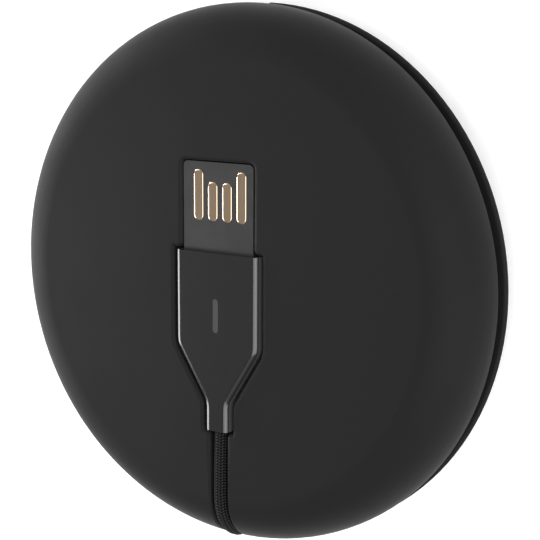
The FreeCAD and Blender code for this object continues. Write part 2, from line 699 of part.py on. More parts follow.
# Metal shells of the plug and the connector, with the ferrule that grips the cable in each neck
def metal_shell(piece, thickness, low_y):
    """Hollow shell with rounded long edges, open at its mouth and bored for the cable."""
    mid = f"Fits.{piece}_mid_z"
    skin = plug_block(f"{piece}_skin", f"{mid} - {thickness} / 2", thickness)
    faces = [skin.Shape.BoundBox.ZMin, skin.Shape.BoundBox.ZMax]
    flat_ends = [size(f"{piece}_skin_mouth_y"), size(f"{piece}_skin_end_y")]
    rounded(skin, f"{piece}_edges", "Sizes.plug_edge_radius", lambda edge: any(
        level(edge, "Z", z) for z in faces) and not any(level(edge, "Y", y) for y in flat_ends))
    core = plug_block(f"{piece}_room", f"{mid} - {thickness} / 2 + Sizes.shell_wall",
                      f"{thickness} - 2 * Sizes.shell_wall", "Sizes.shell_wall")
    bore = cylinder(f"{piece}_bore", "Fits.bore_radius", "Sizes.plug_neck_length + 2 * Sizes.shell_wall",
                    "0", f"{low_y} - Sizes.shell_wall", mid, along_y)
    return cut(f"{piece}_hollow", skin, core, bore)


def ferrule(piece, y):
    """Crimp ring between the cable and the bore of a neck."""
    mid = f"Fits.{piece}_mid_z"
    ring = cylinder(f"{piece}_ring", "Fits.bore_radius - Sizes.thread_play", "Sizes.ferrule_length",
                    "0", y, mid, along_y)
    hole = cylinder(f"{piece}_ring_hole", "Fits.cable_radius + Sizes.thread_play", "Sizes.ferrule_length",
                    "0", y, mid, along_y)
    return node(f"{piece}_ferrule", cut(f"{piece}_ring_bored", ring, hole))


plug_hollow = metal_shell("plug", "Sizes.plug_thickness", "Fits.plug_end_y")
lens_low_y = "Fits.lens_y - Sizes.lens_length / 2"
plug_inner_top = "Fits.plug_mid_z + Sizes.plug_thickness / 2 - Sizes.shell_wall"
lens_hole = capsule("lens_hole", "Sizes.lens_width + 2 * Sizes.thread_play",
                    "Sizes.lens_length + 2 * Sizes.thread_play", "2 * Sizes.shell_wall",
                    "0", f"{lens_low_y} - Sizes.thread_play", plug_inner_top)
node("plug_shell", cut("plug_shell_cut", plug_hollow, lens_hole))
ferrule("plug", "Fits.plug_end_y + Sizes.ferrule_inset")
node("connector_shell", metal_shell("connector", "Sizes.connector_thickness", "Fits.connector_neck_y"))
ferrule("connector", "Fits.connector_end_y - Sizes.ferrule_inset - Sizes.ferrule_length")

# Plug: a board that runs from the shell into the tongue, with contacts on both of its faces
board_top = "Fits.plug_mid_z + Sizes.board_thickness / 2"
node("plug_board", box("plug_board_blank", "Sizes.board_width", "Fits.board_tip_y - Fits.board_back_y",
                       "Sizes.board_thickness", "0", "Fits.board_back_y",
                       "Fits.plug_mid_z - Sizes.board_thickness / 2"))
tongue_floor = "Fits.plug_mid_z - Sizes.tongue_thickness / 2"
tongue = box("tongue_block", "Sizes.tongue_width", "Fits.tongue_tip_y - Fits.tongue_root_y",
             "Sizes.tongue_thickness", "0", "Fits.tongue_root_y", tongue_floor)
board_slot_width = "Sizes.board_width + 2 * Sizes.fit_clearance"
board_slot_height = "Sizes.board_thickness + 2 * Sizes.fit_clearance"
board_slot_z = "Fits.plug_mid_z - Sizes.board_thickness / 2 - Sizes.fit_clearance"
tongue_slot = box("tongue_board_slot", board_slot_width,
                  "Fits.board_tip_y + Sizes.fit_clearance - Fits.tongue_root_y", board_slot_height,
                  "0", "Fits.tongue_root_y", board_slot_z)
contacts = (("power", -1.5, "outer"), ("data_minus", -0.5, "inner"),
            ("data_plus", 0.5, "inner"), ("ground", 1.5, "outer"))
contact_height = "Fits.contact_face - Sizes.board_thickness / 2"


def contact(name, x, length, z, bevel_z):
    """Round-ended contact pad with a bevelled outer edge."""
    pad = capsule(f"{name}_pad", "Sizes.contact_width", length, contact_height, x, "Fits.contact_start_y", z)
    doc.recompute()
    bevel = doc.addObject("Part::Chamfer", f"{name}_bevelled")
    bevel.Base = pad
    bevel.Edges = [(number, size("contact_bevel"), size("contact_bevel"))
                   for number, edge in enumerate(pad.Shape.Edges, start=1) if level(edge, "Z", bevel_z)]
    return node(name, bevel)


windows = []
for word, step, row in contacts:
    x = f"Sizes.contact_shift + ({step}) * Sizes.contact_pitch"
    length = f"Sizes.{row}_contact_length"
    windows.append(capsule(f"{word}_window", "Sizes.contact_width + 2 * Sizes.thread_play",
                           f"{length} + 2 * Sizes.thread_play", "Sizes.tongue_thickness", x,
                           "Fits.contact_start_y - Sizes.thread_play", tongue_floor))
    contact(f"upper_{word}_contact", x, length, board_top, size("plug_mid_z") + size("contact_face"))
    contact(f"lower_{word}_contact", f"Sizes.contact_shift - ({step}) * Sizes.contact_pitch", length,
            "Fits.plug_mid_z - Fits.contact_face", size("plug_mid_z") - size("contact_face"))
tongue_cut = cut("tongue_cut", tongue, tongue_slot, *windows)
node("plug_tongue", lip_rounds(
    "tongue_corners", tongue_cut, lambda point: size("tongue_corner_radius"),
    lambda edge: level(edge, "Y", size("tongue_tip_y")) and edge.BoundBox.XLength < 1e-4))

insert_width = "2 * (Fits.plug_half - Sizes.shell_wall - Sizes.fit_clearance)"
insert_height = "Sizes.plug_thickness - 2 * (Sizes.shell_wall + Sizes.fit_clearance)"
lens_flange_width = "Sizes.lens_width + 2 * Sizes.lens_flange"
lens_flange_length = "Sizes.lens_length + 2 * Sizes.lens_flange"
node("plug_insert", cut(
    "plug_insert_cut",
    box("plug_insert_blank", insert_width, "Sizes.insert_length", insert_height,
        "0", "Fits.insert_back_y", f"Fits.plug_mid_z - ({insert_height}) / 2"),
    box("plug_insert_slot", board_slot_width, "Sizes.insert_length", board_slot_height,
        "0", "Fits.insert_back_y", board_slot_z),
    box("plug_insert_window", f"{lens_flange_width} + 2 * Sizes.fit_clearance",
        f"{lens_flange_length} + 2 * Sizes.fit_clearance", "Sizes.plug_thickness / 2",
        "0", f"{lens_low_y} - Sizes.lens_flange - Sizes.fit_clearance", "Fits.plug_mid_z")))
node("indicator_led", box("indicator_led_body", "Sizes.led_width", "Sizes.led_length", "Sizes.led_height",
                          "0", "Fits.lens_y - Sizes.led_length / 2", board_top))
node("indicator_lens", fuse(
    "indicator_lens_body",
    capsule("lens_window", "Sizes.lens_width", "Sizes.lens_length", "Sizes.shell_wall",
            "0", lens_low_y, plug_inner_top),
    capsule("lens_base", lens_flange_width, lens_flange_length, "Sizes.lens_flange_thickness",
            "0", f"{lens_low_y} - Sizes.lens_flange", f"{plug_inner_top} - Sizes.lens_flange_thickness")))

# Device connector: a round-sided metal tip with a lined socket, and rows of pins above and below a board
connector_mid = "Fits.connector_mid_z"
tip_length = "Fits.tip_back_y - Fits.tip_front_y"
bore_width = "Sizes.tip_width - 2 * Sizes.tip_wall"
bore_height = "Sizes.tip_height - 2 * Sizes.tip_wall"
node("connector_tip", cut(
    "connector_tip_tube",
    stadium("tip_outside", "Sizes.tip_width", "Sizes.tip_height", tip_length,
            "Fits.tip_front_y", connector_mid),
    stadium("tip_inside", bore_width, bore_height, tip_length, "Fits.tip_front_y", connector_mid)))
node("connector_core", cut(
    "connector_core_cut",
    stadium("core_outside", f"{bore_width} - 2 * Sizes.thread_play", f"{bore_height} - 2 * Sizes.thread_play",
            tip_length, "Fits.tip_front_y", connector_mid),
    box("core_socket", "Sizes.socket_width", tip_length, "Sizes.socket_height",
        "0", "Fits.tip_front_y", f"{connector_mid} - Sizes.socket_height / 2")))
pin_height = "(Sizes.socket_height - Sizes.connector_board_thickness) / 2"
pin_steps = (-2.5, -1.5, -0.5, 0.5, 1.5, 2.5)
for row, z in (("upper", f"{connector_mid} + Sizes.connector_board_thickness / 2"),
               ("lower", f"{connector_mid} - Sizes.socket_height / 2")):
    pins = [box(f"{row}_pin_{number}", "Sizes.pin_width", f"{tip_length} - Sizes.pin_inset", pin_height,
                f"{step} * Sizes.pin_pitch", "Fits.tip_front_y + Sizes.pin_inset", z)
            for number, step in enumerate(pin_steps, start=1)]
    node(f"connector_{row}_contacts", group(f"{row}_pin_row", pins))
connector_board_width = "Sizes.socket_width - 2 * Sizes.fit_clearance"
connector_board_y = "Fits.tip_back_y - Sizes.connector_board_lap"
node("connector_board", box("connector_board_blank", connector_board_width,
                            f"Fits.connector_board_back_y - ({connector_board_y})",
                            "Sizes.connector_board_thickness", "0", connector_board_y,
                            f"{connector_mid} - Sizes.connector_board_thickness / 2"))
connector_insert_height = "Sizes.connector_thickness - 2 * (Sizes.shell_wall + Sizes.fit_clearance)"
node("connector_insert", cut(
    "connector_insert_cut",
    box("connector_insert_blank", "2 * (Fits.connector_half - Sizes.shell_wall - Sizes.fit_clearance)",
        "Sizes.connector_insert_length - Sizes.tongue_seat", connector_insert_height, "0",
        "Sizes.connector_mouth_y + Sizes.tongue_seat", f"{connector_mid} - ({connector_insert_height}) / 2"),
    stadium("tip_grip", "Sizes.tip_width + 2 * Sizes.thread_play", "Sizes.tip_height + 2 * Sizes.thread_play",
            "Sizes.tip_root", "Sizes.connector_mouth_y", connector_mid),
    box("connector_board_grip", f"{connector_board_width} + 2 * Sizes.fit_clearance",
        "Sizes.connector_insert_length", "Sizes.connector_board_thickness + 2 * Sizes.fit_clearance",
        "0", "Sizes.connector_mouth_y",
        f"{connector_mid} - Sizes.connector_board_thickness / 2 - Sizes.fit_clearance")))

# Wires from the pads of each board to the end of the cable
wire_radius = size("wire_diameter") / 2
wire_ends = ((-1, 1), (-1, -1), (1, -1), (1, 1))


def wires(piece, ahead, board_y, board_half, pad_pitch, cable_y):
    """Four wires that draw together from their pads into the cable; ahead is the way to the cable along Y."""
    mid = size(f"{piece}_mid_z")
    pad_z = mid + board_half + wire_radius
    pad_start = board_y - ahead * size("wire_pad_length")
    for (word, step, _), (side, layer) in zip(contacts, wire_ends):
        x = step * pad_pitch
        end_x, end_z = side * size("wire_spread"), mid + layer * size("wire_spread")
        corners = [Vector(x, pad_start, pad_z), Vector(x, board_y + ahead * wire_radius, pad_z),
                   Vector(end_x, cable_y - ahead * size("wire_pad_length") / 2, end_z),
                   Vector(end_x, cable_y, end_z)]
        bends = [size("wire_bend_radius")] * 2
        node(f"{piece}_{word}_wire", tube(f"{piece}_{word}_lead", corners, bends, wire_radius))


wires("plug", -1, size("board_back_y"), size("board_thickness") / 2, size("wire_pad_pitch"),
      size("lead_start_y"))
wires("connector", 1, size("connector_board_back_y"), size("connector_board_thickness") / 2,
      size("connector_pad_pitch"), size("tail_start_y"))

# Cable: the run from the plug over the front rim, the doubled coil in the gap with its loop through the
# hub, and the run over the rear rim to the connector
coil = cut("coil_ring",
           cylinder("coil_outside", "Fits.coil_outer_radius", "Sizes.cable_diameter", "0", "0",
                    "Fits.gap_mid_z - Fits.cable_radius"),
           cylinder("coil_inside", "Fits.coil_inner_radius", "Sizes.cable_diameter", "0", "0",
                    "Fits.gap_mid_z - Fits.cable_radius"))
node("cable_coil", coil)


def run_into_coil(name, side, start_y, mid_z, rim_y, bend_radius):
    """Cable from a plug's neck over the rim, turned sideways in the gap and led into the coil."""
    gap_z = size("gap_mid_z")
    turn, inward = size("cable_turn_radius"), size("cable_inward_radius")
    angle = math.radians(size("cable_inward_angle"))
    aside = turn + inward * math.tan(angle / 2)
    last = rim_y - size("coil_outer_radius") + 2 * size("cable_diameter")
    corners = [Vector(0, side * start_y, mid_z), Vector(0, side * rim_y, mid_z),
               Vector(0, side * rim_y, gap_z), Vector(-side * aside, side * rim_y, gap_z),
               Vector(-side * (aside + last / math.tan(angle)), side * (rim_y - last), gap_z)]
    whole = tube(f"{name}_whole", corners, [bend_radius, turn, inward], size("cable_radius"))
    return node(name, cut(f"{name}_trimmed", whole, coil))


run_into_coil("cable_lead", -1, -size("lead_start_y"), size("plug_mid_z"), size("lead_rim_y"),
              size("lead_bend_radius"))
run_into_coil("cable_tail", 1, size("tail_start_y"), size("connector_mid_z"), size("tail_rim_y"),
              size("tail_bend_radius"))

loop, height = size("loop_radius"), size("gap_mid_z")
loop_path = Part.Wire([
    Part.Arc(Vector(0, 2 * loop, height), Vector(-loop, loop, height), Vector(0, 0, height)).toShape(),
    Part.Arc(Vector(0, 0, height), Vector(loop, -loop, height), Vector(0, -2 * loop, height)).toShape()])
loop_end = Part.makeCircle(size("cable_radius"), Vector(0, 2 * loop, height), Vector(-1, 0, 0))
loop_tube = doc.addObject("Part::Feature", "cable_loop_whole")
loop_tube.Shape = loop_path.makePipeShell([Part.Wire([loop_end])], True, False)
print(f"cable_middle: length {loop_path.Length:.1f}, radius {loop:.2f}")
loop_room = cylinder("cable_loop_room", "Fits.coil_inner_radius", "Sizes.winding_gap",
                     "0", "0", "Sizes.rear_rise")
cable_middle = doc.addObject("Part::Common", "cable_loop")
cable_middle.Base = loop_tube
cable_middle.Tool = loop_room
node("cable_middle", cable_middle)

# Every object is checked before the sub-parts are written
doc.recompute()
for item in doc.Objects:
    if "Invalid" in item.State or "Error" in item.State:
        raise RuntimeError(f"{item.Name} failed: {item.State}")
for piece in nodes:
    if piece.Shape.isNull() or not piece.Shape.isValid() or not piece.Shape.Solids:
        raise RuntimeError(f"{piece.Label} has no valid solid")
os.makedirs("parts", exist_ok=True)
for piece in nodes:
    piece.Shape.exportStep(os.path.join("parts", f"{piece.Label}.step"))
    print(f"{piece.Label}: {len(piece.Shape.Solids)} solids, {piece.Shape.Volume:.1f} mm3")
print(f"{len(nodes)} nodes")
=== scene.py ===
import bpy, bmesh
import math
from mathutils import Matrix, Vector


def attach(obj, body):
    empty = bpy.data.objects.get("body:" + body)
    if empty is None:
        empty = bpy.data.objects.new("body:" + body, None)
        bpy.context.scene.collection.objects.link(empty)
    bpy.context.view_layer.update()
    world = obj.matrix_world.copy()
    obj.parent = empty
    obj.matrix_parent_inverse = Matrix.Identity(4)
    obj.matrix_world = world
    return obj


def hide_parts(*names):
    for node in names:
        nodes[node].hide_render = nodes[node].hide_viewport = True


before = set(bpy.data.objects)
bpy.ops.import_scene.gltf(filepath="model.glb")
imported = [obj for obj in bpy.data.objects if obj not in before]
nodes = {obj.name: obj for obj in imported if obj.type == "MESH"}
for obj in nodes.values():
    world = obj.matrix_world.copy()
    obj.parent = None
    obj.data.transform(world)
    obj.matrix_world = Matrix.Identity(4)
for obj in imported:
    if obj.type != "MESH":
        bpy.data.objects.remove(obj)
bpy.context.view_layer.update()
scene = bpy.context.scene
mm = 0.001
wireNames = ("power", "data_minus", "data_plus", "ground")
print("frame loaded:", len(nodes), "solids")


def addObject(name, data):
    made = bpy.data.objects.new(name, data)
    scene.collection.objects.link(made)
    return made


# camera, at the photograph's angle
cameraLook = {
    "spot": (113.82, 40.207, 183.757),  # mm
    "aim": (2.595, 0.798, 8.06),        # mm
    "roll": 0.261,                      # degrees
    "lens": 94.721,                     # mm
    "sensor": 36.0,                     # mm
    "clip": (0.01, 20),                 # m
}


def setCamera(look):
    spot = Vector(look["spot"]) * mm
    back = (spot - Vector(look["aim"]) * mm).normalized()
    right = Vector((0, 1, 0)).cross(back).normalized()
    up = back.cross(right)
    turn = math.radians(look["roll"])
    rolledRight = right * math.cos(turn) + up * math.sin(turn)
    rolledUp = up * math.cos(turn) - right * math.sin(turn)
    data = bpy.data.cameras.new("photoCamera")
    data.lens, data.sensor_width = look["lens"], look["sensor"]
    data.clip_start, data.clip_end = look["clip"]
    camera = addObject("photoCamera", data)
    camera.matrix_world = Matrix((
        (rolledRight.x, rolledUp.x, back.x, spot.x),
        (rolledRight.y, rolledUp.y, back.y, spot.y),
        (rolledRight.z, rolledUp.z, back.z, spot.z),
        (0, 0, 0, 1),
    ))
    scene.camera = camera


setCamera(cameraLook)
print("camera set")


# braided cable: plug, over the rim, front arm, fold in the hub, rear arm, connector
cable = {
    "across": 2.2,        # mm over the braid, and all lengths here in mm
    "coilHeight": 8.45,
    "outerTurn": 36.1,    # radius where an arm enters the gap
    "innerTurn": 22.8,    # radius where it meets the fold
    "turnStep": 24.5,     # degrees between points of a turn
    "turnPoints": 36,     # points in each arm
    "turnEnd": 90,        # degrees, the side where the front arm meets the fold
    "foldRadius": 11.4,
    "foldAngles": (112.5, 157.5, 202.5, 247.5),  # degrees, points of one half of the fold
    "lead": [             # from the plug's neck down into the winding gap
        (0, -17.65, 16.7), (0, -22.2, 17.0), (0, -28.0, 17.2), (0, -35.2, 17.2), (0, -38.85, 13.5),
        (0, -38.85, 9.9), (0.8, -38.6, 8.45), (4.5, -38.0, 8.45), (10.0, -35.3, 8.45),
    ],
    "tail": [             # from the winding gap down to the connector's neck
        (-10.0, 35.0, 8.45), (-5.0, 38.1, 8.45), (-1.5, 38.4, 8.45), (0, 38.4, 6.9),
        (0, 38.4, 3.9), (0, 36.9, 2.45), (0, 28.0, 2.45), (0, 18.0, 2.45),
    ],
    "splineOrder": 3,
    "ringResolution": 3,
    "stepsPerPoint": 8,
}


def cablePoints(look):
    step = math.radians(look["turnStep"])
    count = look["turnPoints"]
    height = look["coilHeight"]
    lift = 1 / math.cos(step / 2)  # points stand outside the line they draw
    arm = []
    for i in range(count):  # inward, ending half a step before the fold
        angle = math.radians(look["turnEnd"]) - step * (count - 0.5 - i)
        share = (i + 0.5) / count
        radius = (look["outerTurn"] + (look["innerTurn"] - look["outerTurn"]) * share) * lift
        arm.append((radius * math.cos(angle), radius * math.sin(angle), height))
    turns = [math.radians(angle) for angle in look["foldAngles"]]
    middle = look["foldRadius"]
    far = middle / math.cos((turns[1] - turns[0]) / 2)
    fold = [(far * math.cos(turn), middle + far * math.sin(turn), height) for turn in turns]
    foldBack = [(-x, -y, z) for x, y, z in reversed(fold)]
    rearArm = [(-x, -y, z) for x, y, z in reversed(arm)]
    return look["lead"] + arm + fold + foldBack + rearArm + look["tail"]


def drawnMesh(route):
    return bpy.data.meshes.new_from_object(route.evaluated_get(bpy.context.evaluated_depsgraph_get()))


def wrapBraid(tube, run, girth):  # u once round, v along in turns of the girth
    ring = len(tube.vertices) // len(run)
    uv = tube.uv_layers.active or tube.uv_layers.new(name="UVMap")
    for face in tube.polygons:
        spots = [tube.loops[k].vertex_index for k in face.loop_indices]
        around = [s % ring for s in spots]
        wrap = max(around) - min(around) > ring / 2
        for k, s, a in zip(face.loop_indices, spots, around):
            u = a + ring if wrap and a < ring / 2 else a
            uv.data[k].uv = (u / ring, run[s // ring] / girth)


def makeCable(look):
    curve = bpy.data.curves.new("cableRoute", "CURVE")
    curve.dimensions = "3D"
    spline = curve.splines.new("NURBS")
    points = cablePoints(look)
    spline.points.add(len(points) - 1)
    for point, place in zip(spline.points, points):
        point.co = (*(Vector(place) * mm), 1)
    spline.order_u = look["splineOrder"]
    spline.use_endpoint_u = True
    spline.resolution_u = look["stepsPerPoint"]
    curve.resolution_u = look["stepsPerPoint"]
    route = addObject("cableRoute", curve)
    path = [v.co.copy() for v in drawnMesh(route).vertices]
    curve.bevel_depth = look["across"] / 2 * mm
    curve.bevel_resolution = look["ringResolution"]
    bpy.context.view_layer.update()
    tube = drawnMesh(route)
    bpy.data.objects.remove(route)
    run = [0.0]
    for a, b in zip(path, path[1:]):
        run.append(run[-1] + (b - a).length)
    wrapBraid(tube, run, math.pi * look["across"] * mm)
    tube.shade_smooth()
    print(f"cable: {len(points)} points, {len(path)} rings, length {run[-1]:.3f} m")
    return addObject("braidedCable", tube), path, run[-1]


# contact pads of the plug: flat middle, edges rolled down
contactPad = {
    "across": 1.6,        # mm, and all lengths here in mm
    "rolledEdge": 0.16,
    "rolledDrop": 0.07,
    "rolls": ((0.5, 0.75), (0.5, 0.25)),  # shares of that edge and drop, the outer roll first
    "segments": 32,
    "rise": 0.78,         # above the board's face
    "boardMiddle": 16.7,
    "boardHalf": 0.5,
    "start": 9.08,
    "pitch": 2.46,
    "shift": 0.3,         # the row stands off the tongue's middle
    "steps": (-1.5, -0.5, 0.5, 1.5),
    "lengths": (7.4, 5.7, 5.7, 7.4),
}


def makeContact(name, look, step, length, upper):
    pad = bmesh.new()
    half = look["across"] / 2
    halfStep = Matrix.Rotation(math.pi / look["segments"], 4, "Z")  # no corner where it is pulled long
    bmesh.ops.create_circle(pad, cap_ends=True, radius=half, segments=look["segments"], matrix=halfStep)
    bmesh.ops.translate(pad, verts=[v for v in pad.verts if v.co.y > 0], vec=(0, length - look["across"], 0))
    raised = bmesh.ops.extrude_face_region(pad, geom=pad.faces[:])["geom"]
    crown = [g for g in raised if isinstance(g, bmesh.types.BMFace)]
    bmesh.ops.translate(pad, verts=[g for g in raised if isinstance(g, bmesh.types.BMVert)],
                        vec=(0, 0, look["rise"] - look["rolledDrop"]))
    for edgeShare, dropShare in look["rolls"]:
        bmesh.ops.inset_region(pad, faces=crown, thickness=look["rolledEdge"] * edgeShare,
                               depth=look["rolledDrop"] * dropShare)
    bmesh.ops.recalc_face_normals(pad, faces=pad.faces)
    aside = look["shift"] + step * look["pitch"]
    boardFace = look["boardMiddle"] + look["boardHalf"]
    bmesh.ops.translate(pad, verts=pad.verts, vec=(aside, look["start"] + half, boardFace))
    if not upper:
        bmesh.ops.rotate(pad, verts=pad.verts, cent=(look["shift"], 0, look["boardMiddle"]),
                         matrix=Matrix.Rotation(math.pi, 3, "Y"))
    bmesh.ops.scale(pad, verts=pad.verts, vec=(mm, mm, mm))
    mesh = bpy.data.meshes.new(name)
    pad.to_mesh(mesh)
    pad.free()
    return addObject(name, mesh)


contactPads = []
for row in ("upper", "lower"):
    for wire, step, length in zip(wireNames, contactPad["steps"], contactPad["lengths"]):
        pad = makeContact(f"{row}_{wire}_pad", contactPad, step, length, row == "upper")
        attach(pad, "root")
        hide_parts(f"{row}_{wire}_contact")
        contactPads.append(pad)
print("contact pads:", len(contactPads))

braidedCable, cablePath, cableRun = makeCable(cable)
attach(braidedCable, "root")
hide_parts("cable_lead", "cable_coil", "cable_middle", "cable_tail")
# a cord takes 24 pieces at most, so the plug's inner ones aren't listed
onCable = ["connector_shell", "connector_tip", "connector_core", "connector_upper_contacts",
           "connector_lower_contacts", "connector_board", "connector_insert", "connector_ferrule"]
onCable += [f"connector_{wire}_wire" for wire in wireNames]
onCable += ["plug_shell", "plug_tongue", "indicator_lens", "plug_ferrule"]


# shared surface effects
def addNode(tree, kind, place, inputs=None, **settings):
    node = tree.nodes.new(kind)
    node.location = place
    for name, value in settings.items():
        setattr(node, name, value)
    for name, value in (inputs or {}).items():
        node.inputs[name].default_value = value
    return node


def newGroup(name, inputs, outputs):
    group = bpy.data.node_groups.new(name, "ShaderNodeTree")
    for label, kind, value in inputs:
        socket = group.interface.new_socket(label, in_out="INPUT", socket_type=kind)
        socket.default_value = value
    for label in outputs:
        group.interface.new_socket(label, in_out="OUTPUT", socket_type="NodeSocketFloat")
    start = addNode(group, "NodeGroupInput", (-900, 0))
    end = addNode(group, "NodeGroupOutput", (700, 0))
    return group, start, end


def makeGrainGroup():  # fine skin of a moulded or coated surface
    group, start, end = newGroup(
        "mouldedGrain",
        [("Grain", "NodeSocketFloat", 5000.0), ("Cloud", "NodeSocketFloat", 60.0)],
        ["Height", "Tone", "Smudge"],
    )
    place = addNode(group, "ShaderNodeTexCoord", (-900, 300))
    fine = addNode(group, "ShaderNodeTexNoise", (-500, 300), {"Detail": 2.0, "Roughness": 0.6})
    pits = addNode(group, "ShaderNodeTexVoronoi", (-500, 0), {"Randomness": 1.0})
    cloud = addNode(group, "ShaderNodeTexNoise", (-500, -300), {"Detail": 4.0, "Roughness": 0.55})
    mix = addNode(group, "ShaderNodeMath", (-200, 200), operation="ADD")
    tone = addNode(group, "ShaderNodeMapRange", (-200, -100), {"From Min": 0.3, "From Max": 0.7})
    smudge = addNode(group, "ShaderNodeMapRange", (-200, -400), {"From Min": 0.42, "From Max": 0.72})
    link = group.links.new
    for texture in (fine, pits, cloud):
        link(place.outputs["Object"], texture.inputs["Vector"])
    link(start.outputs["Grain"], fine.inputs["Scale"])
    link(start.outputs["Grain"], pits.inputs["Scale"])
    link(start.outputs["Cloud"], cloud.inputs["Scale"])
    link(fine.outputs["Fac"], mix.inputs[0])
    link(pits.outputs["Distance"], mix.inputs[1])
    link(fine.outputs["Fac"], tone.inputs["Value"])
    link(cloud.outputs["Fac"], smudge.inputs["Value"])
    link(mix.outputs[0], end.inputs["Height"])
    link(tone.outputs["Result"], end.inputs["Tone"])
    link(smudge.outputs["Result"], end.inputs["Smudge"])
    return group


def makeBrushGroup():  # fine drawn lines in metal, along Y unless stretched otherwise
    group, start, end = newGroup(
        "drawnLines",
        [("Stretch", "NodeSocketVector", (9000.0, 300.0, 9000.0))],
        ["Height", "Tone"],
    )
    place = addNode(group, "ShaderNodeTexCoord", (-900, 300))
    size = addNode(group, "ShaderNodeVectorMath", (-700, 200), operation="MULTIPLY")
    lines = addNode(group, "ShaderNodeTexNoise", (-450, 200), {"Scale": 1.0, "Detail": 3.0, "Roughness": 0.6})
    tone = addNode(group, "ShaderNodeMapRange", (-150, 0), {"From Min": 0.3, "From Max": 0.7})
    link = group.links.new
    link(place.outputs["Object"], size.inputs[0])
    link(start.outputs["Stretch"], size.inputs[1])
    link(size.outputs["Vector"], lines.inputs["Vector"])
    link(lines.outputs["Fac"], tone.inputs["Value"])
    link(lines.outputs["Fac"], end.inputs["Height"])
    link(tone.outputs["Result"], end.inputs["Tone"])
    return group


def makeWeaveGroup():  # columns of slanted stitches, leaning the other way in every second column; the tone is painted shade, dark in the grooves between stitches and along each column's edges
    group, start, end = newGroup(
        "braidStitch",
        [("Columns", "NodeSocketFloat", 10.0), ("Stitches", "NodeSocketFloat", 17.0),
         ("Lean", "NodeSocketFloat", 0.8)],
        ["Height", "Tone"],
    )
    place = addNode(group, "ShaderNodeUVMap", (-1500, 300))
    place.uv_map = "UVMap"
    parts = addNode(group, "ShaderNodeSeparateXYZ", (-1300, 300))
    link = group.links.new
    link(place.outputs["UV"], parts.inputs[0])

    def maths(operation, a, b=None, c=None):
        node = addNode(group, "ShaderNodeMath", (len(group.nodes) * 60 - 1300, 0), operation=operation)
        for i, value in enumerate((a, b, c)):
            if isinstance(value, (int, float)):
                node.inputs[i].default_value = value
            elif value is not None:
                link(value, node.inputs[i])
        return node.outputs[0]

    column = maths("MULTIPLY", parts.outputs["X"], start.outputs["Columns"])
    across = maths("FRACT", column)
    odd = maths("PINGPONG", maths("FLOOR", column), 1.0)
    side = maths("MULTIPLY_ADD", odd, 2.0, -1.0)  # -1 or 1, turn about
    slant = maths("MULTIPLY", maths("MULTIPLY", maths("SUBTRACT", across, 0.5), side), start.outputs["Lean"])
    along = maths("MULTIPLY_ADD", parts.outputs["Y"], start.outputs["Stitches"], slant)
    stitch = maths("ABSOLUTE", maths("SINE", maths("MULTIPLY", along, math.pi)))
    crown = maths("POWER", maths("SINE", maths("MULTIPLY", across, math.pi)), 0.5)
    height = maths("MULTIPLY", stitch, crown)
    # painted shade: the colour follows the stitch height, near black in the grooves and lightest on the
    # crowns
    tone = addNode(group, "ShaderNodeMapRange", (500, -200), {"From Min": 0.55, "From Max": 1.0})
    link(height, tone.inputs["Value"])
    link(height, end.inputs["Height"])
    link(tone.outputs["Result"], end.inputs["Tone"])
    return group


mouldedGrain, drawnLines, braidStitch = makeGrainGroup(), makeBrushGroup(), makeWeaveGroup()
print("surface effects made")

